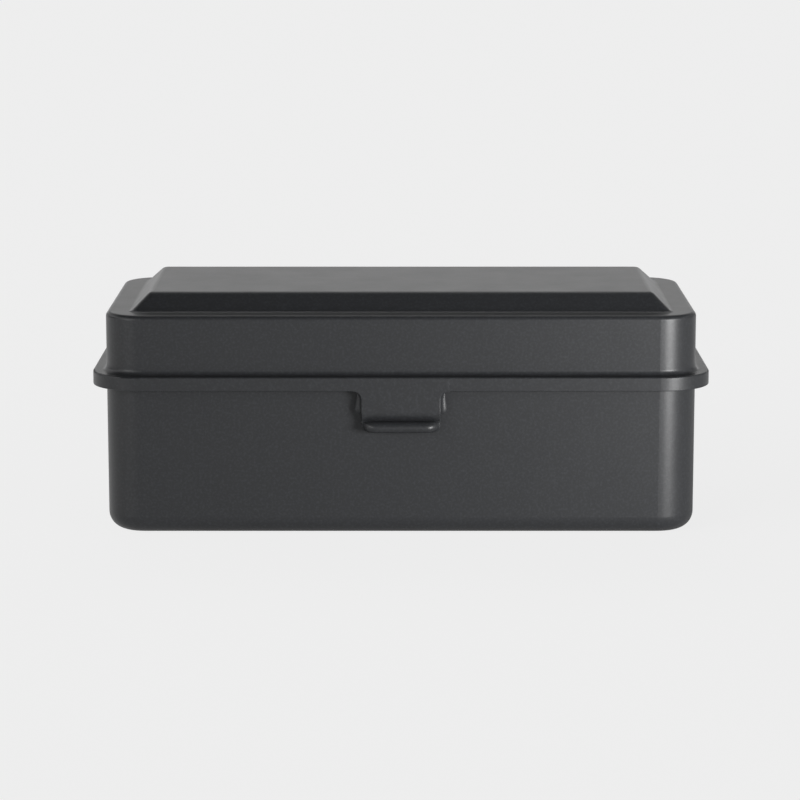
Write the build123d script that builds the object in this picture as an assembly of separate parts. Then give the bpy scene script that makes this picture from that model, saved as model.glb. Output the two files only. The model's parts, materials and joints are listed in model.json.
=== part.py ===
from build123d import *
import math
import os

# Film case of pressed steel: a tray, a hinged lid whose band covers the tray's rim,
# and a spring tongue on the lid that snaps over a catch bead on the tray.
# Millimetres. The origin is the middle of the flat base, +X is the long way to the
# right, -Y is the front with the tongue, +Z is up.

# Overall form
case_width = 168.5            # over the flat walls, left to right
case_depth = 80.0             # over the flat walls, front to back
corner_radius = 11.0          # upright corners, outside
sheet = 0.5                   # steel thickness, also of tongue and rim
base_fillet = 5.0             # rounding between base and walls, outside

# Lid
band_bottom = 42.2            # height of the band's lower edge
band_height = 4.0
band_step = 3.9               # how far the band stands out from the wall
band_edge_round = 0.45        # upper outer edge of the band
band_foot_round = 1.4         # hollow rounding between band and lid wall
lid_wall_height = 16.85       # from the band up to the ledge
ledge_edge_round = 1.3        # outer edge of the ledge
ledge_side = 7.2              # ledge width at left and right
ledge_front = 7.2             # ledge width at front and back
panel_rise = 5.0              # raised panel above the ledge
panel_run_side = 5.2          # slope's plan width at left and right
panel_run_front = 5.9         # slope's plan width at front and back
panel_top_round = 2.6
panel_hip_round = 3.0         # edges between two slopes
panel_foot_round = 1.8
cut_edge_round = 0.2          # painted cut edges of the sheet

# Body rim, rolled outwards round a wire
rim_wire_diameter = 1.2
rim_wire_clearance = 0.03
rim_curl_end = -118.0         # where the curl stops, degrees from straight out
lid_seat_clearance = 0.15     # between rim and the underside of the band's step

# Catch bead pressed out of the front wall, behind the tongue
catch_height = 2.25           # also the bead's half width
catch_length = 16.0
catch_above_groove = 1.55     # from the groove's middle up to the bead's middle

# Latch tongue
tongue_flat_width = 21.8      # flat face between the rounded sides
tongue_side_round = 1.8
tongue_root_round = 2.6       # hollow corner between tongue and band
tongue_length = 11.8          # from the band's lower edge to the tongue's end
tongue_seam = 0.1             # gap at the flexing root
tongue_wall_gap = 2.0         # between the tongue's sides and the front wall, clears the rim
tongue_end_round = 0.9
groove_top_drop = 5.9         # from the band's lower edge to the groove's upper edge
groove_width_z = 2.9          # groove's upright size on the tongue's face
groove_depth = 1.45
groove_floor_chamfer = 0.45   # at the groove's lower inner corner
groove_lead_in = 0.35         # bevel at the groove's upper edge
groove_slope_share = 0.85     # fall of the groove's back against its depth
lip_height = 3.0
lip_reach = 2.0               # how far the finger lip stands out from the face
lip_width = 21.8
lip_corner = 3.9

# Hinges
hinge_end_distance = 32.25    # from the case's end wall to the hinge's middle
hinge_length = 24.0
lid_knuckle_length = 8.0
knuckle_gap = 0.15
leaf_thickness = 0.8
pin_diameter = 2.0
pin_running_clearance = 0.05
pin_press_clearance = 0.02
pin_head_diameter = 3.0
pin_head_length = 0.6
axis_below_band = 2.1
knuckle_wall_gap = 0.05       # between knuckle and case wall
body_leaf_drop = 12.0         # below the hinge axis
lid_leaf_rise = 12.0          # above the band
leaf_corner = 2.0
leaf_bend = 0.7               # middle line of the sheet, outer bend over the band
leaf_foot_bend = 1.15         # middle line, where band meets wall
crank_bend = 0.5
crank_leave_angle = -25.0     # where the strap leaves the knuckle, degrees above straight out
crank_rise = 0.6              # from the axis up to the strap's bend

# Rivets
rivet_spacing = 15.0
rivet_drop = 7.0              # from the axis down, and from the band up
rivet_shank = 2.2
rivet_hole_clearance = 0.05
rivet_head_diameter = 3.8
rivet_head_height = 0.9
rivet_tail_diameter = 3.2
rivet_tail_height = 0.6

# Foam pads
base_pad_thickness = 1.5
base_pad_clearance = 0.4      # inside the tray's base rounding
lid_pad_thickness = 1.5
lid_pad_clearance = 1.2       # inside the panel's upper edge
pad_corner = 6.0

# Derived sizes
band_top = band_bottom + band_height
ledge_z = band_top + lid_wall_height
panel_top = ledge_z + panel_rise
hinge_spacing = case_width - 2 * hinge_end_distance
wire_radius = rim_wire_diameter / 2
curl_inner = wire_radius + rim_wire_clearance
curl_outer = curl_inner + sheet
rim_top = band_top - sheet - lid_seat_clearance
rim_axis_z = rim_top - curl_outer
rim_axis_out = curl_outer - sheet
pin_radius = pin_diameter / 2
knuckle_radius = pin_radius + pin_running_clearance + leaf_thickness
axis_out = knuckle_radius + knuckle_wall_gap
axis_z = band_bottom - axis_below_band
body_rivet_z = axis_z - rivet_drop
lid_rivet_z = band_top + rivet_drop
outer_knuckle_length = (hinge_length - lid_knuckle_length) / 2 - knuckle_gap
tongue_top = band_bottom - tongue_seam
tongue_bottom = band_bottom - tongue_length
groove_high = band_bottom - groove_top_drop
groove_low = groove_high - groove_width_z
groove_middle = (groove_high + groove_low) / 2


def outline_distance(point, width, depth, radius):
    """Distance of a point outside the rounded rectangle, negative inside."""
    across = abs(point.X) - (width / 2 - radius)
    along = abs(point.Y) - (depth / 2 - radius)
    if across > 0 and along > 0:
        return math.hypot(across, along) - radius
    return max(across, along) - radius


def edges_on(solid, width, depth, radius, height):
    """Edges of the solid that lie on a rounded rectangle at one height."""
    found = []
    for edge in solid.edges():
        points = [edge @ 0, edge @ 0.5, edge @ 1]
        level = all(abs(point.Z - height) < 1e-3 for point in points)
        if level and all(abs(outline_distance(point, width, depth, radius)) < 1e-3 for point in points):
            found.append(edge)
    return found


def rounded_prism(width, depth, radius, low, high):
    """Upright prism over a rounded rectangle."""
    return extrude(Plane.XY.offset(low) * RectangleRounded(width, depth, radius), high - low)


def wall_prism(outset, low, high):
    """Prism whose sides stand a given distance outside the case walls."""
    return rounded_prism(case_width + 2 * outset, case_depth + 2 * outset, corner_radius + outset, low, high)


def edges_at_outset(solid, outset, height):
    """Edges that follow the case walls a given distance outside them."""
    return edges_on(
        solid, case_width + 2 * outset, case_depth + 2 * outset, corner_radius + outset, height
    )


def run_round(section):
    """Carry a section round the case. Its local X is measured outwards from the wall."""
    straight_x = case_width - 2 * corner_radius
    straight_y = case_depth - 2 * corner_radius
    pieces = []
    sides = (
        (0, straight_y, case_width / 2, 1, 1),
        (90, straight_x, case_depth / 2, -1, 1),
        (180, straight_y, case_width / 2, -1, -1),
        (270, straight_x, case_depth / 2, 1, -1),
    )
    for angle, run, reach, side_x, side_y in sides:
        side = extrude(Pos(reach, 0, 0) * section, run / 2, both=True)
        pieces.append(Rot(0, 0, angle) * side)
        corner = Rot(0, 0, angle) * revolve(Pos(corner_radius, 0, 0) * section, Axis.Z, 90)
        pieces.append(Pos(side_x * straight_x / 2, side_y * straight_y / 2, 0) * corner)
    return pieces


def curl_section():
    """Section of the rolled rim, a sheet curled outwards from the wall's top."""
    centre = (rim_axis_out, 0, rim_axis_z)
    plane = Plane(origin=centre, x_dir=(1, 0, 0), z_dir=(0, -1, 0))

    def on_circle(radius, angle):
        return (radius * math.cos(math.radians(angle)), radius * math.sin(math.radians(angle)))

    middle = (180 + rim_curl_end) / 2
    outer = ThreePointArc(on_circle(curl_outer, 180), on_circle(curl_outer, middle),
                          on_circle(curl_outer, rim_curl_end))
    inner = ThreePointArc(on_circle(curl_inner, rim_curl_end), on_circle(curl_inner, middle),
                          on_circle(curl_inner, 180))
    end = Line(outer @ 1, inner @ 0)
    start = Line(inner @ 1, outer @ 0)
    return plane * make_face([outer, end, inner, start])


def hinge_places():
    """Name and middle of each hinge along X."""
    return (("left", -hinge_spacing / 2), ("right", hinge_spacing / 2))


def rivet_places(hinge_middle):
    """X of the two rivets in one leaf."""
    return (hinge_middle - rivet_spacing / 2, hinge_middle + rivet_spacing / 2)


def rivet_holes(height):
    """Cutters for every rivet in the back wall at one height, through wall and leaf."""
    radius = rivet_shank / 2 + rivet_hole_clearance
    length = 4 * (sheet + leaf_thickness)
    holes = []
    for _, middle in hinge_places():
        for x in rivet_places(middle):
            holes.append(Pos(x, case_depth / 2, height) * Rot(90, 0, 0) * Cylinder(radius, length))
    return holes


def catch_bead(radius):
    """Long bead on the front wall with round ends."""
    height = groove_middle + catch_above_groove
    half = catch_length / 2 - catch_height
    bead = Rot(0, 90, 0) * Cylinder(radius, 2 * half)
    bead += Pos(-half, 0, 0) * Sphere(radius)
    bead += Pos(half, 0, 0) * Sphere(radius)
    return Pos(0, -case_depth / 2, height) * bead


def body_shell():
    """Drawn tray with rounded base edge, catch bead and rolled rim."""
    outer = wall_prism(0, 0, rim_axis_z)
    outer = fillet(edges_at_outset(outer, 0, 0), base_fillet)
    inner = wall_prism(-sheet, sheet, rim_axis_z + sheet)
    inner = fillet(edges_at_outset(inner, -sheet, sheet), base_fillet - sheet)
    bead_room = wall_prism(-sheet, sheet, rim_axis_z)
    shell = outer - inner
    shell += catch_bead(catch_height) - bead_room
    shell -= catch_bead(catch_height - sheet)
    shell += run_round(curl_section())
    for hole in rivet_holes(body_rivet_z):
        shell -= hole
    return shell


def rim_wire():
    """Wire inside the rolled rim."""
    plane = Plane(origin=(rim_axis_out, 0, rim_axis_z), x_dir=(1, 0, 0), z_dir=(0, -1, 0))
    pieces = run_round(plane * Circle(wire_radius))
    return pieces[0].fuse(*pieces[1:])


def panel_form(inset):
    """Raised four-slope panel, or the hollow under it when inset is the sheet thickness."""
    side_slope = math.atan2(panel_rise, panel_run_side)
    front_slope = math.atan2(panel_rise, panel_run_front)
    half_x = case_width / 2 - ledge_side - inset * math.tan(side_slope / 2)
    half_y = case_depth / 2 - ledge_front - inset * math.tan(front_slope / 2)
    foot = Plane.XY.offset(ledge_z - inset) * Rectangle(2 * half_x, 2 * half_y)
    top_width = 2 * (half_x - panel_run_side)
    top_depth = 2 * (half_y - panel_run_front)
    top = Plane.XY.offset(panel_top - inset) * Rectangle(top_width, top_depth)
    form = loft([foot, top])
    hips = []
    for edge in form.edges():
        if abs((edge @ 0).Z - (edge @ 1).Z) > panel_rise / 2:
            hips.append(edge)
    form = fillet(hips, panel_hip_round - inset)
    return fillet(form.edges().group_by(Axis.Z)[-1], panel_top_round - inset)


def lid_form(inset):
    """The lid's outside, or the hollow inside it when inset is the sheet thickness."""
    opening = sheet if inset else 0
    band = wall_prism(band_step - inset, band_bottom - opening, band_top - inset)
    band = fillet(edges_at_outset(band, band_step - inset, band_top - inset),
                  max(band_edge_round - inset, cut_edge_round))
    wall = wall_prism(-inset, band_bottom, ledge_z - inset)
    wall = fillet(edges_at_outset(wall, -inset, ledge_z - inset),
                  max(ledge_edge_round - inset, cut_edge_round))
    form = band + wall
    form = fillet(edges_at_outset(form, -inset, band_top - inset), band_foot_round + inset)
    panel = panel_form(inset)
    form += panel
    foot = []
    for edge in form.edges():
        points = [edge @ 0, edge @ 0.5, edge @ 1]
        level = all(abs(point.Z - (ledge_z - inset)) < 1e-3 for point in points)
        inside = all(abs(point.X) < case_width / 2 - ledge_side / 2 for point in points)
        within = all(abs(point.Y) < case_depth / 2 - ledge_front / 2 for point in points)
        if level and inside and within:
            foot.append(edge)
    return fillet(foot, panel_foot_round + inset)


def lid_shell():
    """Lid pressing with panel, ledge, wall and stepped-out band."""
    shell = lid_form(0) - lid_form(sheet)
    edges = edges_at_outset(shell, band_step, band_bottom)
    edges += edges_at_outset(shell, band_step - sheet, band_bottom)
    shell = fillet(edges, cut_edge_round)
    for hole in rivet_holes(lid_rivet_z):
        shell -= hole
    return shell


def tongue_block(half_width, low, high, face, round_side, round_end):
    """Block against the front wall with rounded upright edges and a rounded lower edge."""
    wall_y = -case_depth / 2
    depth = face - tongue_wall_gap
    block = Box(2 * half_width, depth, high - low)
    block = Pos(0, wall_y - face + depth / 2, (low + high) / 2) * block
    front = block.edges().filter_by(Axis.Z).group_by(Axis.Y)[0]
    block = fillet(front, round_side)
    lower = block.edges().group_by(Axis.Z)[0]
    back = wall_y - tongue_wall_gap - 1e-3
    lower = [edge for edge in lower if min((edge @ 0).Y, (edge @ 1).Y, (edge @ 0.5).Y) < back]
    return fillet(lower, round_end)


def groove_cutter(grow):
    """Cross groove in the tongue's face, grown by the sheet thickness for its inner side."""
    face = band_step
    floor = face - groove_depth
    beyond = face + 2 * lip_reach
    slope = groove_depth * groove_slope_share
    points = [
        (floor, groove_low + groove_floor_chamfer),
        (floor + groove_floor_chamfer, groove_low),
        (beyond, groove_low),
        (beyond, groove_high + groove_lead_in),
        (face + groove_lead_in / 2, groove_high + groove_lead_in),
        (face - groove_lead_in, groove_high - groove_lead_in / 2),
        (floor, groove_high - slope),
    ]
    section = make_face(Polyline(*points, close=True))
    if grow:
        section = offset(section, amount=grow, kind=Kind.ARC)
    plane = Plane(origin=(0, -case_depth / 2, 0), x_dir=(0, -1, 0), z_dir=(-1, 0, 0))
    return extrude(plane * section, tongue_flat_width / 2 + grow, both=True)


def lip_block(inset):
    """Finger lip, a shelf with rounded ends and a round nose."""
    height = lip_height - 2 * inset
    face = band_step + lip_reach - inset
    width = lip_width - 2 * inset
    back = tongue_wall_gap
    plan = RectangleRounded(width, 2 * face, lip_corner - inset)
    shelf = extrude(Plane.XY.offset(tongue_bottom + inset) * plan, height)
    shelf = Pos(0, -case_depth / 2, 0) * shelf
    noses = shelf.edges().group_by(Axis.Z)[0] + shelf.edges().group_by(Axis.Z)[-1]
    shelf = fillet(noses, height / 2 - 0.05)
    keep = Box(2 * width, 2 * face, 4 * height)
    keep = Pos(0, -case_depth / 2 - back - face, tongue_bottom) * keep
    return shelf & keep


def tongue_roots():
    """Hollow corners where the tongue's flat face widens into the band."""
    half = tongue_flat_width / 2
    top = tongue_top
    radius = tongue_root_round
    pieces = []
    for side in (-1, 1):
        corner = (side * half, top)
        far = (side * (half + radius), top)
        low = (side * half, top - radius)
        bend = (side * (half + radius - radius * math.sqrt(0.5)), top - radius + radius * math.sqrt(0.5))
        outline = [Line(corner, far), ThreePointArc(far, bend, low), Line(low, corner)]
        plane = Plane(origin=(0, -case_depth / 2 - band_step, 0), x_dir=(1, 0, 0), z_dir=(0, -1, 0))
        pieces.append(extrude(plane * make_face(outline), -sheet))
    return pieces


def latch_tongue():
    """Spring tongue with rounded sides, cross groove and finger lip, hollow behind."""
    half = tongue_flat_width / 2 + tongue_side_round
    outer = tongue_block(half, tongue_bottom, tongue_top, band_step, tongue_side_round,
                         tongue_end_round)
    outer -= groove_cutter(0)
    outer += lip_block(0)
    inner = tongue_block(half - sheet, tongue_bottom + sheet, tongue_top + sheet, band_step - sheet,
                         tongue_side_round - sheet, tongue_end_round - sheet)
    inner -= groove_cutter(sheet)
    inner += lip_block(sheet)
    tongue = outer - inner
    for root in tongue_roots():
        tongue += root
    return tongue


def back_plane():
    """Plane for hinge sections: local X outwards from the back wall, local Y up."""
    return Plane(origin=(0, case_depth / 2, 0), x_dir=(0, 1, 0), z_dir=(1, 0, 0))


def across(section, length):
    """Section of the hinge carried along X, centred."""
    return extrude(back_plane() * section, length / 2, both=True)


def knuckle(length, bore_clearance):
    """Knuckle tube with its bore, as body and cutter."""
    place = Pos(axis_out, axis_z)
    tube = across(place * Circle(knuckle_radius), length)
    bore = across(place * Circle(pin_radius + bore_clearance), 2 * hinge_length)
    return tube, bore


def body_leaf():
    """Leaf on the body's back wall with the two outer knuckles."""
    tube, bore = knuckle(outer_knuckle_length, pin_press_clearance)
    shift = (hinge_length - outer_knuckle_length) / 2
    relief = axis_z - knuckle_radius - 2 * knuckle_gap
    low = axis_z - body_leaf_drop
    plate = across(Pos(leaf_thickness / 2, (low + axis_z) / 2) * Rectangle(leaf_thickness, axis_z - low),
                   hinge_length)
    corners = plate.edges().filter_by(Axis.Y).group_by(Axis.Z)[0]
    plate = fillet(corners, leaf_corner)
    notch_width = lid_knuckle_length + 2 * knuckle_gap
    notch_height = axis_z - relief
    notch = Box(notch_width, 8 * leaf_thickness, 2 * notch_height)
    notch = Pos(0, case_depth / 2, relief + notch_height) * notch
    leaf = plate - notch
    for side in (-shift, shift):
        leaf += Pos(side, 0, 0) * tube
    return leaf - bore


def lid_leaf():
    """Cranked leaf that passes round the band and lies on the lid's back wall."""
    tube, bore = knuckle(lid_knuckle_length, pin_running_clearance)
    half = leaf_thickness / 2
    strap_out = band_step + half
    over = band_top + half
    top = band_top + lid_leaf_rise
    ring_middle = knuckle_radius - half
    leave_angle = math.radians(crank_leave_angle)
    leave = (axis_out + ring_middle * math.cos(leave_angle), axis_z + ring_middle * math.sin(leave_angle))
    neck_line = FilletPolyline(
        leave, (strap_out, axis_z + crank_rise), (strap_out, band_bottom + half), radius=crank_bend)
    neck = across(trace(neck_line, leaf_thickness), lid_knuckle_length)
    plate_line = FilletPolyline(
        (strap_out, band_bottom), (strap_out, over), (half, over), (half, top),
        radius=[leaf_bend, leaf_foot_bend])
    plate = across(trace(plate_line, leaf_thickness), hinge_length)
    corners = plate.edges().filter_by(Axis.Y).group_by(Axis.Z)[-1]
    plate = fillet(corners, leaf_corner)
    return tube + neck + plate - bore


def with_holes(leaf, middle, height):
    """Leaf at its place along X, with its rivet holes."""
    placed = Pos(middle, 0, 0) * leaf
    for hole in rivet_holes(height):
        placed -= hole
    return placed


def hinge_pin():
    """Pin with a head at each end, just outside the knuckles."""
    place = Pos(axis_out, axis_z)
    pin = across(place * Circle(pin_radius), hinge_length + 2 * knuckle_gap)
    head = across(place * Circle(pin_head_diameter / 2), pin_head_length)
    head = chamfer(head.edges(), pin_head_length / 4)
    shift = hinge_length / 2 + knuckle_gap + pin_head_length / 2
    pin += Pos(-shift, 0, 0) * head
    pin += Pos(shift, 0, 0) * head
    return pin


def rivet():
    """Domed rivet through leaf and wall, its axis along Y, wall's outer face at Y = 0."""
    head_radius = rivet_head_diameter / 2
    dome = (head_radius**2 + rivet_head_height**2) / (2 * rivet_head_height)
    seat = leaf_thickness
    shank = Pos(0, (seat - sheet) / 2, 0) * Rot(90, 0, 0) * Cylinder(rivet_shank / 2, seat + sheet)
    ball = Pos(0, seat + rivet_head_height - dome, 0) * Sphere(dome)
    room = Pos(0, seat + dome, 0) * Box(4 * dome, 2 * dome, 4 * dome)
    tail = Pos(0, -sheet - rivet_tail_height / 2, 0) * Rot(90, 0, 0)
    tail = tail * Cylinder(rivet_tail_diameter / 2, rivet_tail_height)
    tail = fillet(tail.edges().group_by(Axis.Y)[0], rivet_tail_height / 2)
    return shank + (ball & room) + tail


def base_pad():
    """Foam mat on the tray's floor."""
    inset = base_fillet + base_pad_clearance
    return rounded_prism(case_width - 2 * inset, case_depth - 2 * inset, pad_corner,
                         sheet, sheet + base_pad_thickness)


def lid_pad():
    """Foam mat under the lid's top panel."""
    inset_x = ledge_side + panel_run_side + lid_pad_clearance
    inset_y = ledge_front + panel_run_front + lid_pad_clearance
    high = panel_top - sheet
    return rounded_prism(case_width - 2 * inset_x, case_depth - 2 * inset_y, pad_corner,
                         high - lid_pad_thickness, high)


def write(shape, node):
    """Write one node's solid."""
    export_step(shape, f"parts/{node}.step")


os.makedirs("parts", exist_ok=True)
write(body_shell(), "body_shell")
write(rim_wire(), "rim_wire")
write(base_pad(), "base_pad")
write(lid_shell(), "lid_shell")
write(lid_pad(), "lid_pad")
write(latch_tongue(), "latch_tongue")
for name, middle in hinge_places():
    write(with_holes(body_leaf(), middle, body_rivet_z), f"hinge_{name}_body_leaf")
    write(with_holes(lid_leaf(), middle, lid_rivet_z), f"hinge_{name}_lid_leaf")
    write(Pos(middle, 0, 0) * hinge_pin(), f"hinge_{name}_pin")
    for number, x in enumerate(rivet_places(middle), start=1):
        place = Pos(x, case_depth / 2, 0)
        write(place * Pos(0, 0, body_rivet_z) * rivet(), f"hinge_{name}_body_rivet_{number}")
        write(place * Pos(0, 0, lid_rivet_z) * rivet(), f"hinge_{name}_lid_rivet_{number}")
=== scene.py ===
"""Film case of powder-coated pressed steel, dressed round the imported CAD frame.

The shells, hinges and rivets keep their CAD meshes and get their finishes here. The latch tongue
and the two foam liners are modelled here and stand for their plain CAD solids.
"""
import json
import logging
import math
from dataclasses import dataclass, field
from enum import Enum
from typing import Any

import bmesh
import bpy
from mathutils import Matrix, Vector

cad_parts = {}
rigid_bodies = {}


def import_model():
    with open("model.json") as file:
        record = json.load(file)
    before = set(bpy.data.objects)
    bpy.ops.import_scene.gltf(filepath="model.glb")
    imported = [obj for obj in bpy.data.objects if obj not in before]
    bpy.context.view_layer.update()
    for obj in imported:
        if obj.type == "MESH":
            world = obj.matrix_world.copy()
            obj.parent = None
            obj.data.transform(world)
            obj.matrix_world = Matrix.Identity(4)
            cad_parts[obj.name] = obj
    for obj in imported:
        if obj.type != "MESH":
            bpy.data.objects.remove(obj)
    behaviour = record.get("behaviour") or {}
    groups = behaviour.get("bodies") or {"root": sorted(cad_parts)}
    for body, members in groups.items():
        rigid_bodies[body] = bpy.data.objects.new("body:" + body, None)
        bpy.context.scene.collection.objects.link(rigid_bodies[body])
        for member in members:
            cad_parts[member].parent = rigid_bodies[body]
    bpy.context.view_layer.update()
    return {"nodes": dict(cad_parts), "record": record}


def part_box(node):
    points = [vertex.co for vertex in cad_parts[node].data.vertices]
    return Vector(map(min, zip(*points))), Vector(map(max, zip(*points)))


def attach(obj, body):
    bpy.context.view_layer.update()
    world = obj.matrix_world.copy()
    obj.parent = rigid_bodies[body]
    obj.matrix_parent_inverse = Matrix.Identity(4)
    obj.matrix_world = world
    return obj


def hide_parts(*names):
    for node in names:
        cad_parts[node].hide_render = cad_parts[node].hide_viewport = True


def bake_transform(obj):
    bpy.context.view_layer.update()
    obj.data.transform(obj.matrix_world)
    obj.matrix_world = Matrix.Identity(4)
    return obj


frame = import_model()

logging.basicConfig(level=logging.INFO, format="%(message)s")
LOG = logging.getLogger("film_case")

MM = 0.001


class Slot(Enum):
    """Material slots of the record."""

    COAT = "black_powder_coat"
    OXIDE = "black_oxide_steel"
    WIRE = "bare_steel_wire"
    FOAM = "black_foam"


def linear(hex_colour: str) -> tuple[float, float, float, float]:
    """Turn an sRGB hex colour into the linear colour that shaders take.

    Args:
        hex_colour: six hex digits, with or without a leading hash.

    Returns:
        Linear red, green, blue and an alpha of 1.
    """
    digits = hex_colour.lstrip("#")
    channels = []
    for start in (0, 2, 4):
        value = int(digits[start:start + 2], 16) / 255
        channels.append(value / 12.92 if value <= 0.04045 else ((value + 0.055) / 1.055) ** 2.4)
    return (channels[0], channels[1], channels[2], 1.0)


def per_metre(feature_mm: float) -> float:
    """Texture scale at which one feature is as large as the given millimetres."""
    return 1.0 / (feature_mm * MM)


def add_node(tree: bpy.types.NodeTree, kind: str, inputs: dict[Any, Any] | None = None,
             **settings: Any) -> bpy.types.Node:
    """Add one shader node, set it up and link it.

    Args:
        tree: the node tree to add to.
        kind: the node's type name.
        inputs: input name or number to a value, or to an output socket to link from.
        settings: attributes of the node itself.

    Returns:
        The new node.
    """
    node = tree.nodes.new(kind)
    for name, value in settings.items():
        setattr(node, name, value)
    for name, value in (inputs or {}).items():
        if isinstance(value, bpy.types.NodeSocket):
            tree.links.new(value, node.inputs[name])
        else:
            node.inputs[name].default_value = value
    return node


def new_tree(name: str) -> tuple[bpy.types.Material, bpy.types.NodeTree]:
    """Make a material with an empty node tree.

    Args:
        name: the material's name.

    Returns:
        The material and its node tree.
    """
    material = bpy.data.materials.new(name)
    material.use_nodes = True
    material.node_tree.nodes.clear()
    return material, material.node_tree


@dataclass(frozen=True)
class PowderCoat:
    """Black polyester powder coat, sprayed and oven-cured on pressed steel.

    The powder melts into a satin skin with a faint orange peel and fine lighter grit. It is
    nearly black face on and turns pale grey at a shallow angle, where it mirrors the room.
    """

    colour: str = "#2c2d2f"
    grit_colour: str = "#3d3f42"
    roughness: float = 0.38
    ior: float = 1.5
    peel_mm: float = 1.6
    peel_height_mm: float = 0.012
    # Real grain and grit are 0.1 to 0.2 mm, finer than a pixel, so both are drawn coarser to show.
    grain_mm: float = 0.45
    grain_height_mm: float = 0.006
    grit_mm: float = 0.7
    grit_from: float = 0.45
    grit_to: float = 0.85
    grit_share: float = 0.6
    mottle_mm: float = 9.0
    mottle_from: float = 0.3
    mottle_to: float = 0.7
    mottle_swing: float = 0.012

    def build(self) -> bpy.types.Material:
        """Speckle the colour with grit, mottle the gloss, and raise peel and grain.

        Returns:
            The finish for every sheet-steel piece.
        """
        material, tree = new_tree("satin_black_polyester_powder_coat")
        place = add_node(tree, "ShaderNodeTexCoord").outputs["Object"]
        grit = add_node(tree, "ShaderNodeTexNoise", {
            "Vector": place, "Scale": per_metre(self.grit_mm), "Detail": 1.0, "Roughness": 0.5})
        specks = add_node(tree, "ShaderNodeMapRange", {
            "Value": grit.outputs["Fac"], "From Min": self.grit_from, "From Max": self.grit_to,
            "To Min": 0.0, "To Max": self.grit_share})
        colour = add_node(tree, "ShaderNodeMix", {
            "Factor": specks.outputs["Result"], "A": linear(self.colour),
            "B": linear(self.grit_colour)}, data_type="RGBA")
        mottle = add_node(tree, "ShaderNodeTexNoise", {
            "Vector": place, "Scale": per_metre(self.mottle_mm), "Detail": 3.0,
            "Roughness": 0.55})
        gloss = add_node(tree, "ShaderNodeMapRange", {
            "Value": mottle.outputs["Fac"], "From Min": self.mottle_from,
            "From Max": self.mottle_to, "To Min": self.roughness - self.mottle_swing,
            "To Max": self.roughness + self.mottle_swing})
        peel = add_node(tree, "ShaderNodeTexNoise", {
            "Vector": place, "Scale": per_metre(self.peel_mm), "Detail": 1.0, "Roughness": 0.5})
        peel_bump = add_node(tree, "ShaderNodeBump", {
            "Height": peel.outputs["Fac"], "Strength": 1.0, "Distance": self.peel_height_mm * MM})
        grain = add_node(tree, "ShaderNodeTexNoise", {
            "Vector": place, "Scale": per_metre(self.grain_mm), "Detail": 2.0, "Roughness": 0.6})
        grain_bump = add_node(tree, "ShaderNodeBump", {
            "Height": grain.outputs["Fac"], "Strength": 1.0,
            "Distance": self.grain_height_mm * MM, "Normal": peel_bump.outputs["Normal"]})
        shader = add_node(tree, "ShaderNodeBsdfPrincipled", {
            "Base Color": colour.outputs["Result"], "Roughness": gloss.outputs["Result"],
            "IOR": self.ior, "Normal": grain_bump.outputs["Normal"]})
        add_node(tree, "ShaderNodeOutputMaterial", {"Surface": shader.outputs["BSDF"]})
        return material


@dataclass(frozen=True)
class BlackOxideSteel:
    """Turned steel pins and rivets, blackened in a hot oxide bath.

    The bath leaves a thin blue-black skin that keeps a dull metallic gloss and fine turning
    marks, a little brighter and smoother than the coat round it.
    """

    colour: str = "#3a3b3e"
    worn_colour: str = "#5a5b5e"
    roughness: float = 0.38
    # Real turning marks are about 0.1 mm apart, finer than a pixel, so they are drawn coarser.
    turning_mm: float = 0.35
    turning_height_mm: float = 0.004
    wear_from: float = 0.5
    wear_to: float = 0.75
    wear_share: float = 0.7

    def build(self) -> bpy.types.Material:
        """Wear the high turning marks a little brighter, and raise them.

        Returns:
            The finish for the pins and rivets.
        """
        material, tree = new_tree("black_oxide_turned_steel")
        place = add_node(tree, "ShaderNodeTexCoord").outputs["Object"]
        marks = add_node(tree, "ShaderNodeTexNoise", {
            "Vector": place, "Scale": per_metre(self.turning_mm), "Detail": 2.0,
            "Roughness": 0.6})
        wear = add_node(tree, "ShaderNodeMapRange", {
            "Value": marks.outputs["Fac"], "From Min": self.wear_from, "From Max": self.wear_to,
            "To Min": 0.0, "To Max": self.wear_share})
        colour = add_node(tree, "ShaderNodeMix", {
            "Factor": wear.outputs["Result"], "A": linear(self.colour),
            "B": linear(self.worn_colour)}, data_type="RGBA")
        bump = add_node(tree, "ShaderNodeBump", {
            "Height": marks.outputs["Fac"], "Strength": 1.0,
            "Distance": self.turning_height_mm * MM})
        shader = add_node(tree, "ShaderNodeBsdfPrincipled", {
            "Base Color": colour.outputs["Result"], "Metallic": 1.0, "Roughness": self.roughness,
            "Normal": bump.outputs["Normal"]})
        add_node(tree, "ShaderNodeOutputMaterial", {"Surface": shader.outputs["BSDF"]})
        return material


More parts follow.
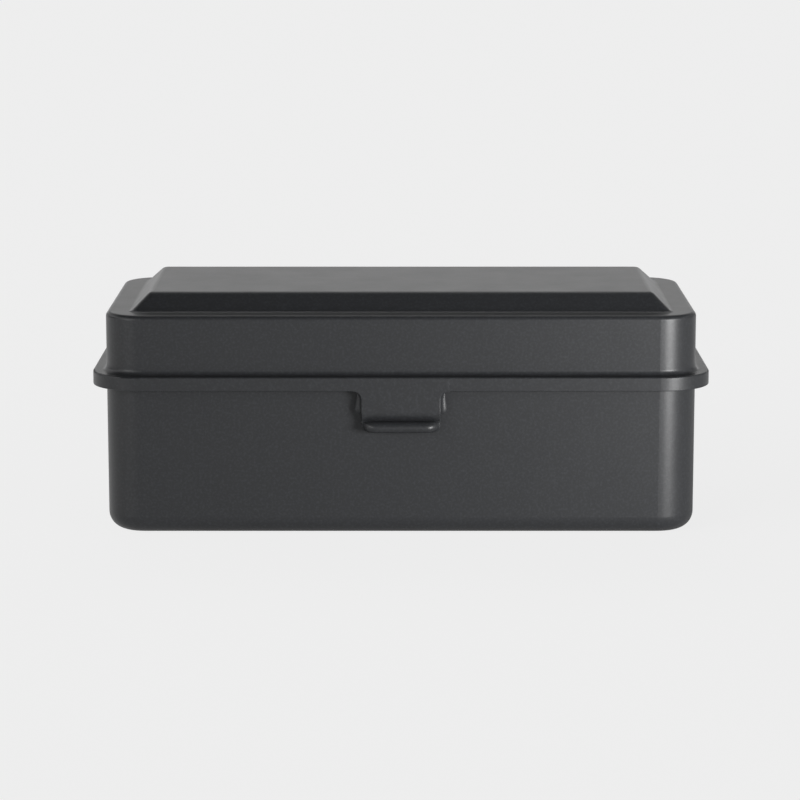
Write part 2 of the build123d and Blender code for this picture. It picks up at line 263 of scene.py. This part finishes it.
@dataclass(frozen=True)
class DrawnWire:
    """Bright drawn steel wire, left bare because the rim curl covers it.

    Drawing leaves a grey metallic gloss with fine dull patches.
    """

    colour: str = "#8d8e90"
    roughness: float = 0.33
    patch_mm: float = 1.2
    patch_from: float = 0.3
    patch_to: float = 0.7
    bright_by: float = 0.08
    dull_by: float = 0.12

    def build(self) -> bpy.types.Material:
        """Vary the gloss in patches.

        Returns:
            The finish for the rim wire.
        """
        material, tree = new_tree("bare_drawn_steel_wire")
        place = add_node(tree, "ShaderNodeTexCoord").outputs["Object"]
        patch = add_node(tree, "ShaderNodeTexNoise", {
            "Vector": place, "Scale": per_metre(self.patch_mm), "Detail": 3.0, "Roughness": 0.6})
        gloss = add_node(tree, "ShaderNodeMapRange", {
            "Value": patch.outputs["Fac"], "From Min": self.patch_from, "From Max": self.patch_to,
            "To Min": self.roughness - self.bright_by, "To Max": self.roughness + self.dull_by})
        shader = add_node(tree, "ShaderNodeBsdfPrincipled", {
            "Base Color": linear(self.colour), "Metallic": 1.0,
            "Roughness": gloss.outputs["Result"]})
        add_node(tree, "ShaderNodeOutputMaterial", {"Surface": shader.outputs["BSDF"]})
        return material


@dataclass(frozen=True)
class ClosedCellFoam:
    """Black closed-cell EVA foam sheet, skived and die-cut.

    Cut cells leave a matt surface with fine pits and a soft grey bloom at shallow angles.
    """

    colour: str = "#26272a"
    # Painted shade: the darker colour of the cut cells' pits.
    pit_shade_colour: str = "#151617"
    roughness: float = 0.9
    cell_mm: float = 0.55
    cloud_mm: float = 4.4
    pit_from: float = 0.1
    pit_to: float = 0.6
    pit_strength: float = 0.7
    pit_height_mm: float = 0.05
    sheen: float = 0.25

    def build(self) -> bpy.types.Material:
        """Pit the surface with cut cells, paint shade into the pits and cloud its colour.

        Returns:
            The finish for both liners.
        """
        material, tree = new_tree("black_closed_cell_foam")
        place = add_node(tree, "ShaderNodeTexCoord").outputs["Object"]
        cells = add_node(tree, "ShaderNodeTexVoronoi", {
            "Vector": place, "Scale": per_metre(self.cell_mm)})
        pits = add_node(tree, "ShaderNodeMapRange", {
            "Value": cells.outputs["Distance"], "From Min": self.pit_from,
            "From Max": self.pit_to, "To Min": 0.0, "To Max": 1.0})
        cloud = add_node(tree, "ShaderNodeTexNoise", {
            "Vector": place, "Scale": per_metre(self.cloud_mm), "Detail": 3.0})
        pit_shade_and_cloud = add_node(tree, "ShaderNodeMath", {
            0: pits.outputs["Result"], 1: cloud.outputs["Fac"]}, operation="MULTIPLY")
        # Painted shade: the colour darkens into the cell pits, times a random cloud of tone.
        colour = add_node(tree, "ShaderNodeMix", {
            "Factor": pit_shade_and_cloud.outputs[0], "A": linear(self.pit_shade_colour),
            "B": linear(self.colour)}, data_type="RGBA")
        bump = add_node(tree, "ShaderNodeBump", {
            "Height": pits.outputs["Result"], "Strength": self.pit_strength,
            "Distance": self.pit_height_mm * MM})
        shader = add_node(tree, "ShaderNodeBsdfPrincipled", {
            "Base Color": colour.outputs["Result"], "Roughness": self.roughness,
            "Sheen Weight": self.sheen, "Normal": bump.outputs["Normal"]})
        add_node(tree, "ShaderNodeOutputMaterial", {"Surface": shader.outputs["BSDF"]})
        return material


def finish_mesh(name: str, mesh: bmesh.types.BMesh, material: bpy.types.Material,
                smooth: bool = True) -> bpy.types.Object:
    """Turn a bmesh in millimetres into an object at the origin with one material.

    Args:
        name: the object's name.
        mesh: the shape, in millimetres; it is freed here.
        material: the object's finish.
        smooth: whether faces are shaded smooth.

    Returns:
        The new object, linked to the scene.
    """
    bmesh.ops.scale(mesh, vec=Vector((MM, MM, MM)), verts=mesh.verts)
    data = bpy.data.meshes.new(name)
    mesh.to_mesh(data)
    mesh.free()
    data.polygons.foreach_set("use_smooth", [smooth] * len(data.polygons))
    data.materials.append(material)
    piece = bpy.data.objects.new(name, data)
    bpy.context.scene.collection.objects.link(piece)
    return piece


def apply_modifiers(piece: bpy.types.Object) -> None:
    """Replace a piece's mesh by its evaluated one and drop its modifiers.

    Args:
        piece: the object to settle.
    """
    graph = bpy.context.evaluated_depsgraph_get()
    graph.update()
    made = bpy.data.meshes.new_from_object(piece.evaluated_get(graph))
    piece.modifiers.clear()
    piece.data = made


def mark_sharp(piece: bpy.types.Object, angle_deg: float) -> None:
    """Shade edges sharper than an angle as creases.

    Args:
        piece: the object to mark.
        angle_deg: the least angle between two faces that makes a crease.
    """
    least = math.radians(angle_deg)
    mesh = bmesh.new()
    mesh.from_mesh(piece.data)
    for edge in mesh.edges:
        edge.smooth = len(edge.link_faces) == 2 and edge.calc_face_angle(0.0) < least
    mesh.to_mesh(piece.data)
    mesh.free()


def box_mm(node: str) -> tuple[Vector, Vector]:
    """Low and high corner of a CAD node's box in millimetres."""
    low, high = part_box(node)
    return low / MM, high / MM


@dataclass(frozen=True)
class TongueRow:
    """One level of the tongue's section: distance out from the wall and height, in millimetres."""

    out: float
    height: float
    on_lip: bool = False


@dataclass
class LatchTongue:
    """The spring tongue at the end of the lid pressing, in millimetres.

    It is one sheet with the band: a flat face that widens into the band by hollow corners,
    hollow ears that sweep back beside it, a cross groove that snaps under the catch bead, and a
    finger lip with a half-round nose and rounded ends.
    """

    coat: bpy.types.Material
    sheet: float = 0.5
    flat_half: float = 10.9
    overlap: float = 3.35
    proud: float = 0.01
    root_round: float = 2.6
    ear_half_top: float = 12.2
    ear_half: float = 13.0
    ear_fade_top: float = 37.0
    ear_fade_bottom: float = 35.3
    edge_round: float = 0.35
    edge_round_deg: float = 80.0
    edge_round_share: float = 0.34
    edge_width: float = 0.22
    groove_top: float = 36.3
    groove_depth: float = 1.45
    shelf_bend: float = 0.22
    shelf_bend_drop: float = 0.05
    shelf_flat: float = 0.5
    lip_top: float = 33.4
    lip_out: float = 5.9
    lip_corner: float = 3.9
    corner_lift: float = 0.4
    back_out: float = 2.0
    crease_deg: float = 42.0
    overlap_shares: tuple[float, ...] = (1.0, 0.66, 0.33, 0.0)
    root_rows: int = 10
    face_rows: int = 6
    groove_rows: int = 12
    nose_rows: int = 14
    flat_columns: int = 60
    column_crowding: float = 0.7
    side_columns: int = 12
    low: Vector = field(init=False)
    wall_y: float = field(init=False)
    face_out: float = field(init=False)
    root_z: float = field(init=False)

    def __post_init__(self) -> None:
        """Read the band's and the tongue's places from the frame."""
        self.low, _ = box_mm("latch_tongue")
        lid_low, _ = box_mm("lid_shell")
        hinge_low, _ = box_mm("hinge_left_body_leaf")
        # The case is centred, so its front wall is as far out as the back wall, where leaves start.
        self.wall_y = hinge_low.y
        self.face_out = -self.wall_y - lid_low.y
        self.root_z = lid_low.z

    def rows(self) -> list[TongueRow]:
        """Work out the whole section.

        Returns:
            The rows from inside the band down to the end under the lip.
        """
        face = self.face_out + self.proud
        heights = [self.root_z + self.overlap * share for share in self.overlap_shares]
        for step in range(1, self.root_rows + 1):
            angle = math.radians(90 - 90 * step / self.root_rows)
            heights.append(self.root_z - self.root_round * (1 - math.sin(angle)))
        foot = heights[-1]
        for step in range(1, self.face_rows):
            heights.append(foot + (self.groove_top - foot) * step / self.face_rows)
        return [TongueRow(face, height) for height in heights] + self.groove(face) + self.lip()

    def groove(self, face: float) -> list[TongueRow]:
        """Bend the sheet in one long curve, down and in to the groove's floor.

        Args:
            face: how far the flat face stands out from the wall.

        Returns:
            The rows of the bend.
        """
        drop = self.groove_top - self.lip_top
        turn = 2 * math.atan2(self.groove_depth, drop)
        radius = drop / math.sin(turn)
        rows = []
        for step in range(self.groove_rows + 1):
            angle = turn * step / self.groove_rows
            rows.append(TongueRow(face - radius * (1 - math.cos(angle)),
                                  self.groove_top - radius * math.sin(angle)))
        return rows

    def lip(self) -> list[TongueRow]:
        """Run the shelf out from the groove's floor to the half-round nose and back under.

        Returns:
            The rows of the lip.
        """
        radius = (self.lip_top - self.low.z) / 2
        centre_out = self.lip_out - radius
        centre_z = self.low.z + radius
        floor = self.face_out - self.groove_depth
        points = [(floor + self.shelf_bend, self.lip_top - self.shelf_bend_drop),
                  (floor + self.shelf_flat, self.lip_top),
                  ((floor + centre_out) / 2, self.lip_top)]
        for step in range(self.nose_rows + 1):
            angle = math.radians(90 - 180 * step / self.nose_rows)
            points.append((centre_out + radius * math.cos(angle),
                           centre_z + radius * math.sin(angle)))
        points.append(((centre_out + self.back_out) / 2, self.low.z))
        points.append((self.back_out, self.low.z))
        return [TongueRow(out, height, on_lip=True) for out, height in points]

    def flat_at(self, height: float) -> float:
        """Half width of the flat face, with the hollow corners under the band.

        Args:
            height: the level asked for.

        Returns:
            Distance from the middle to the flat's edge.
        """
        if height >= self.root_z:
            return self.flat_half + self.root_round
        rise = height - (self.root_z - self.root_round)
        if rise <= 0:
            return self.flat_half
        hollow = math.sqrt(max(self.root_round**2 - rise**2, 0.0))
        return self.flat_half + self.root_round - hollow

    def ear_at(self, height: float) -> float:
        """Half width over the ears, which spread downwards and round off at the groove.

        Args:
            height: the level asked for.

        Returns:
            Distance from the middle to the ear's far edge.
        """
        least = self.flat_at(height) + self.edge_width
        if height >= self.ear_fade_top:
            drop = (self.root_z - height) / (self.root_z - self.ear_fade_top)
            return max(self.ear_half_top + (self.ear_half - self.ear_half_top) * drop, least)
        fade = (self.ear_fade_top - height) / (self.ear_fade_top - self.ear_fade_bottom)
        if fade >= 1:
            return least
        return least + (self.ear_half - least) * math.sqrt(1 - fade * fade)

    def ear_section(self, turn: float, width: float, depth: float) -> tuple[float, float]:
        """Section of an ear: a small rounded edge, then a hollow sweep back to the wall.

        Args:
            turn: place along the section, from 0 at the flat face to 1 at the end.
            width: the ear's width.
            depth: how far the ear goes back.

        Returns:
            Distance across from the flat's edge and distance back from the face.
        """
        edge = min(self.edge_round, width / 2, depth / 2)
        round_end = math.radians(self.edge_round_deg)
        if turn <= self.edge_round_share:
            angle = round_end * turn / self.edge_round_share
            return edge * math.sin(angle), edge * (1 - math.cos(angle))
        angle = math.radians(90) * (turn - self.edge_round_share) / (1 - self.edge_round_share)
        start_across = edge * math.sin(round_end)
        start_back = edge * (1 - math.cos(round_end))
        across = start_across + (width - start_across) * (1 - math.cos(angle))
        return across, start_back + (depth - start_back) * math.sin(angle)

    def lip_pull(self, across: float) -> float:
        """How far the lip's rounded ends draw back.

        Args:
            across: distance from the middle, to either side.

        Returns:
            The draw back, 0 on the lip's straight run.
        """
        beyond = abs(across) - (self.flat_half - self.lip_corner)
        if beyond <= 0:
            return 0.0
        return self.lip_corner - math.sqrt(max(self.lip_corner**2 - beyond**2, 0.0))

    def column_share(self, number: int) -> tuple[float, float]:
        """Place of a column of points, with the flat's columns crowded towards its ends.

        Args:
            number: the column, counted from the left ear's far edge.

        Returns:
            Share of the flat's half width, and share of the way over the ear.
        """
        last_flat = self.side_columns + self.flat_columns
        if number < self.side_columns:
            return -1.0, (self.side_columns - number) / self.side_columns
        if number > last_flat:
            return 1.0, (number - last_flat) / self.side_columns
        even = 2 * (number - self.side_columns) / self.flat_columns - 1
        crowded = math.sin(even * math.pi / 2)
        return crowded * self.column_crowding + even * (1 - self.column_crowding), 0.0

    def place(self, row: TongueRow, share: float, turn: float) -> Vector:
        """Position of one point of the pressing.

        Args:
            row: the level of the section.
            share: place across the flat face, from -1 to 1.
            turn: share of the way over the ear, 0 on the flat face.

        Returns:
            The point in millimetres.
        """
        out, height = row.out, row.height
        flat = self.flat_at(height)
        across = share * flat
        if row.on_lip:
            pull = self.lip_pull(across)
            out = max(out - pull, min(out, self.face_out - self.groove_depth))
            height += (self.lip_top - height) * self.corner_lift * (pull / self.lip_corner) ** 2
        if turn > 0:
            ear = self.edge_width if row.on_lip else self.ear_at(height) - flat
            thin = row.on_lip or height > self.root_z
            back = out - self.edge_width if thin else self.back_out
            aside, inward = self.ear_section(turn, ear, out - back)
            across += math.copysign(aside, share)
            out -= inward
        return Vector((across, -self.wall_y - out, height))

    def build(self) -> bpy.types.Object:
        """Model the tongue as one pressed sheet that bends at its root.

        Returns:
            The tongue, coated.
        """
        rows = self.rows()
        levels = len(rows) - 1
        columns = self.flat_columns + 2 * self.side_columns
        mesh = bmesh.new()
        bmesh.ops.create_grid(mesh, x_segments=columns, y_segments=levels, size=1.0)
        for vert in mesh.verts:
            column = round((vert.co.x + 1) / 2 * columns)
            level = levels - round((vert.co.y + 1) / 2 * levels)
            vert.co = self.place(rows[level], *self.column_share(column))
        bmesh.ops.recalc_face_normals(mesh, faces=mesh.faces)
        if sum(face.normal.y * face.calc_area() for face in mesh.faces) > 0:
            bmesh.ops.reverse_faces(mesh, faces=mesh.faces)
        piece = finish_mesh("latch_tongue_pressing", mesh, self.coat)
        wall = piece.modifiers.new("sheet", "SOLIDIFY")
        wall.thickness = self.sheet * MM
        wall.offset = -1.0
        apply_modifiers(piece)
        mark_sharp(piece, self.crease_deg)
        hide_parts("latch_tongue")
        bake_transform(piece)
        LOG.info("built %s, %d faces", piece.name, len(piece.data.polygons))
        return piece


@dataclass
class FoamLiner:
    """A thin die-cut foam mat that stands for a plain CAD pad, in millimetres."""

    foam: bpy.types.Material
    node: str
    body: str
    name: str
    corner: float = 6.0
    corner_steps: int = 8
    edge_round: float = 0.35
    edge_steps: int = 3
    level_within: float = 1e-4

    def build(self) -> bpy.types.Object:
        """Model the mat with rounded corners and soft cut edges.

        Returns:
            The mat, riding on its body.
        """
        low, high = box_mm(self.node)
        size = high - low
        mesh = bmesh.new()
        bmesh.ops.create_cube(mesh, size=1.0)
        bmesh.ops.scale(mesh, vec=size, verts=mesh.verts)
        upright = [edge for edge in mesh.edges if self.rise(edge) > size.z / 2]
        bmesh.ops.bevel(mesh, geom=upright, offset=self.corner, segments=self.corner_steps,
                        profile=0.5, affect="EDGES", material=-1)
        rims = [edge for edge in mesh.edges if self.rise(edge) < self.level_within]
        bmesh.ops.bevel(mesh, geom=rims, offset=self.edge_round, segments=self.edge_steps,
                        profile=0.5, affect="EDGES", material=-1)
        bmesh.ops.translate(mesh, vec=(high + low) / 2, verts=mesh.verts)
        piece = finish_mesh(self.name, mesh, self.foam, smooth=False)
        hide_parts(self.node)
        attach(piece, self.body)
        LOG.info("built %s", piece.name)
        return piece

    @staticmethod
    def rise(edge: bmesh.types.BMEdge) -> float:
        """Difference in height between an edge's two ends."""
        return abs((edge.verts[0].co - edge.verts[1].co).z)


@dataclass
class SteelWork:
    """Every rigid CAD node that stays and only takes a finish."""

    coat: bpy.types.Material
    oxide: bpy.types.Material
    wire: bpy.types.Material

    def dress(self) -> None:
        """Give each node the finish of its slot, on its object's own slot."""
        finishes = {Slot.COAT.value: self.coat, Slot.OXIDE.value: self.oxide,
                    Slot.WIRE.value: self.wire}
        for part in frame["record"]["subparts"]:
            finish = finishes.get(part["material_slot"])
            if finish is None:
                continue
            slot = frame["nodes"][part["node"]].material_slots[0]
            slot.link = "OBJECT"
            slot.material = finish
            LOG.info("dressed %s in %s", part["node"], finish.name)


@dataclass(frozen=True)
class LightWall:
    """One soft-edged bright patch of the studio's surroundings.

    Azimuths are degrees from straight in front, towards the right; elevations are degrees above
    the horizon.
    """

    azimuth: float
    half_width: float
    low: float
    high: float
    strength: float
    edge: float = 4.0

    def add_to(self, tree: bpy.types.NodeTree, way: bpy.types.NodeSocket) -> bpy.types.NodeSocket:
        """Work out the patch's brightness for a direction.

        Args:
            tree: the world's node tree.
            way: the direction socket.

        Returns:
            A socket with the patch's strength in that direction.
        """
        height = add_node(tree, "ShaderNodeSeparateXYZ", {0: way}).outputs["Z"]
        share = self.towards(tree, way)
        for limit, outwards in ((self.low, -1), (self.high, 1)):
            reach = outwards * self.edge / 2
            step = add_node(tree, "ShaderNodeMapRange", {
                "Value": height, "From Min": math.sin(math.radians(limit + reach)),
                "From Max": math.sin(math.radians(limit - reach))},
                interpolation_type="SMOOTHSTEP")
            share = add_node(tree, "ShaderNodeMath", {
                0: share, 1: step.outputs["Result"]}, operation="MULTIPLY").outputs[0]
        return add_node(tree, "ShaderNodeMath", {
            0: share, 1: self.strength}, operation="MULTIPLY").outputs[0]

    def towards(self, tree: bpy.types.NodeTree, way: bpy.types.NodeSocket) -> bpy.types.NodeSocket:
        """Work out how far a direction, or a place, lies within the patch's azimuths.

        Args:
            tree: the node tree to add to.
            way: the direction, or the place seen from the middle of the case.

        Returns:
            A socket from 0 outside the azimuths to 1 inside.
        """
        parts = add_node(tree, "ShaderNodeSeparateXYZ", {0: way})
        level = add_node(tree, "ShaderNodeCombineXYZ", {
            "X": parts.outputs["X"], "Y": parts.outputs["Y"]})
        heading = add_node(tree, "ShaderNodeVectorMath", {0: level.outputs[0]},
                           operation="NORMALIZE")
        turn = math.radians(self.azimuth)
        near = add_node(tree, "ShaderNodeVectorMath", {
            0: heading.outputs["Vector"], 1: (math.sin(turn), -math.cos(turn), 0.0)},
            operation="DOT_PRODUCT")
        outer = math.radians(self.half_width + self.edge)
        inner = math.radians(max(self.half_width - self.edge, 0.0))
        return add_node(tree, "ShaderNodeMapRange", {
            "Value": near.outputs["Value"], "From Min": math.cos(outer),
            "From Max": math.cos(inner)}, interpolation_type="SMOOTHSTEP").outputs["Result"]


@dataclass
class Studio:
    """Pale floor, soft low light and the photograph's camera, in metres, degrees and watts."""

    walls: tuple[LightWall, ...] = (
        LightWall(azimuth=0.0, half_width=25.0, low=0.0, high=15.0, strength=0.34),
        LightWall(azimuth=35.0, half_width=10.0, low=0.0, high=15.0, strength=1.1),
        LightWall(azimuth=65.0, half_width=20.0, low=0.0, high=15.0, strength=0.76),
        LightWall(azimuth=95.0, half_width=10.0, low=0.0, high=15.0, strength=0.28),
        LightWall(azimuth=77.0, half_width=52.0, low=15.0, high=35.0, strength=0.48),
        LightWall(azimuth=-45.0, half_width=20.0, low=0.0, high=15.0, strength=1.5),
        LightWall(azimuth=-46.0, half_width=6.0, low=3.0, high=15.0, strength=4.5, edge=3.0),
        LightWall(azimuth=-45.0, half_width=20.0, low=15.0, high=35.0, strength=1.6),
        LightWall(azimuth=-75.0, half_width=10.0, low=0.0, high=15.0, strength=0.76),
        LightWall(azimuth=-97.0, half_width=32.0, low=15.0, high=35.0, strength=1.28),
        LightWall(azimuth=180.0, half_width=20.0, low=0.0, high=12.0, strength=1.44),
        LightWall(azimuth=180.0, half_width=20.0, low=12.0, high=35.0, strength=0.4),
        LightWall(azimuth=180.0, half_width=20.0, low=35.0, high=55.0, strength=1.12),
        LightWall(azimuth=-145.0, half_width=15.0, low=0.0, high=35.0, strength=0.6),
        LightWall(azimuth=145.0, half_width=15.0, low=0.0, high=35.0, strength=0.32),
    )
    key_azimuth: float = 39.0
    key_elevation: float = 2.6
    key_distance: float = 0.45
    key_aim_height: float = 0.035
    key_size: float = 0.15
    key_watts: float = 1.95
    elevation_deg: float = 10.40
    camera_place: tuple[float, float, float] = (0.0, -0.8802, 0.19325)
    focal_px: float = 3014.0
    frame_px: int = 800
    sensor_mm: float = 36.0
    centre_shift_px: float = 1.0
    backdrop: str = "#eeeeee"
    floor_colour: str = "#dcdcdc"
    floor_glow: float = 0.26
    floor_patch: LightWall = LightWall(azimuth=-150.0, half_width=82.0, low=0.0, high=0.0,
                                       strength=0.32, edge=14.0)
    floor_evenness: float = 0.8
    floor_tone: float = 1.19
    floor_size: float = 60.0

    def build(self) -> None:
        """Make the surroundings, floor, lamp and camera."""
        self.build_world()
        self.build_floor()
        self.build_key()
        self.build_camera()
        bpy.context.scene.view_settings.view_transform = "Standard"

    def build_world(self) -> None:
        """Bright patches near the horizon under a dark ceiling, unseen by the camera."""
        world = bpy.data.worlds.new("studio_walls")
        bpy.context.scene.world = world
        world.use_nodes = True
        tree = world.node_tree
        tree.nodes.clear()
        way = add_node(tree, "ShaderNodeTexCoord").outputs["Generated"]
        total: Any = 0.0
        for wall in self.walls:
            total = add_node(tree, "ShaderNodeMath", {
                0: wall.add_to(tree, way), 1: total}, operation="ADD").outputs[0]
        light = add_node(tree, "ShaderNodeBackground", {
            "Color": (1, 1, 1, 1), "Strength": total})
        seen = add_node(tree, "ShaderNodeBackground", {
            "Color": linear(self.backdrop), "Strength": 1.0})
        path = add_node(tree, "ShaderNodeLightPath")
        through = add_node(tree, "ShaderNodeMath", {
            0: path.outputs["Is Camera Ray"], 1: path.outputs["Is Transmission Ray"]},
            operation="MAXIMUM")
        both = add_node(tree, "ShaderNodeMixShader", {
            0: through.outputs[0], 1: light.outputs[0], 2: seen.outputs[0]})
        add_node(tree, "ShaderNodeOutputWorld", {"Surface": both.outputs[0]})

    def build_floor(self) -> None:
        """Wide pale floor, evened out to the backdrop's tone for the camera."""
        mesh = bmesh.new()
        bmesh.ops.create_grid(mesh, x_segments=1, y_segments=1, size=self.floor_size / 2 / MM)
        material, tree = new_tree("matt_pale_floor")
        path = add_node(tree, "ShaderNodeLightPath")
        # The camera sees a matt floor that keeps the case's shadow, mixed with an even tone.
        matt = add_node(tree, "ShaderNodeBsdfDiffuse", {"Color": linear(self.floor_colour)})
        even = add_node(tree, "ShaderNodeEmission", {
            "Color": linear(self.backdrop), "Strength": self.floor_tone})
        share = add_node(tree, "ShaderNodeMath", {
            0: path.outputs["Is Camera Ray"], 1: self.floor_evenness}, operation="MULTIPLY")
        seen = add_node(tree, "ShaderNodeMixShader", {
            0: share.outputs[0], 1: matt.outputs[0], 2: even.outputs[0]})
        # The coat mirrors a glowing floor, brighter towards the back left.
        place = add_node(tree, "ShaderNodeNewGeometry").outputs["Position"]
        mirrored = add_node(tree, "ShaderNodeMath", {
            0: path.outputs["Is Glossy Ray"], 1: path.outputs["Is Transmission Ray"]},
            operation="MAXIMUM")
        glow = add_node(tree, "ShaderNodeMath", {
            0: self.floor_patch.towards(tree, place), 1: self.floor_patch.strength,
            2: self.floor_glow}, operation="MULTIPLY_ADD")
        shown = add_node(tree, "ShaderNodeMath", {
            0: glow.outputs[0], 1: mirrored.outputs[0]}, operation="MULTIPLY")
        light = add_node(tree, "ShaderNodeEmission", {"Strength": shown.outputs[0]})
        both = add_node(tree, "ShaderNodeAddShader", {0: seen.outputs[0], 1: light.outputs[0]})
        add_node(tree, "ShaderNodeOutputMaterial", {"Surface": both.outputs[0]})
        finish_mesh("floor", mesh, material, smooth=False)

    def build_key(self) -> None:
        """One small soft box, low at the front right, that lights every piece but the floor."""
        data = bpy.data.lights.new("key", "AREA")
        data.shape = "SQUARE"
        data.size = self.key_size
        data.energy = self.key_watts
        lamp = bpy.data.objects.new("key", data)
        bpy.context.scene.collection.objects.link(lamp)
        turn, rise = math.radians(self.key_azimuth), math.radians(self.key_elevation)
        way = Vector((math.sin(turn) * math.cos(rise), -math.cos(turn) * math.cos(rise),
                      math.sin(rise)))
        lamp.location = Vector((0.0, 0.0, self.key_aim_height)) + way * self.key_distance
        lamp.rotation_euler = (-way).to_track_quat("-Z", "Y").to_euler()
        lit = bpy.data.collections.new("lit_by_key")
        for piece in bpy.context.scene.objects:
            if piece.type == "MESH" and piece.name != "floor":
                lit.objects.link(piece)
        lamp.light_linking.receiver_collection = lit

    def build_camera(self) -> None:
        """Camera fitted to the photograph."""
        data = bpy.data.cameras.new("photo_camera")
        data.sensor_width = self.sensor_mm
        data.lens = self.focal_px * self.sensor_mm / self.frame_px
        data.shift_x = -self.centre_shift_px / self.frame_px
        camera = bpy.data.objects.new("photo_camera", data)
        bpy.context.scene.collection.objects.link(camera)
        camera.location = self.camera_place
        camera.rotation_euler = (math.radians(90 - self.elevation_deg), 0.0, 0.0)
        bpy.context.scene.camera = camera


def main() -> None:
    """Build the finishes, the pieces and the studio in order."""
    coat = PowderCoat().build()
    foam = ClosedCellFoam().build()
    SteelWork(coat, BlackOxideSteel().build(), DrawnWire().build()).dress()
    LatchTongue(coat).build()
    FoamLiner(foam, "base_pad", "body", "base_foam_liner").build()
    FoamLiner(foam, "lid_pad", "lid", "lid_foam_liner").build()
    Studio().build()


if __name__ == "__main__":
    main()
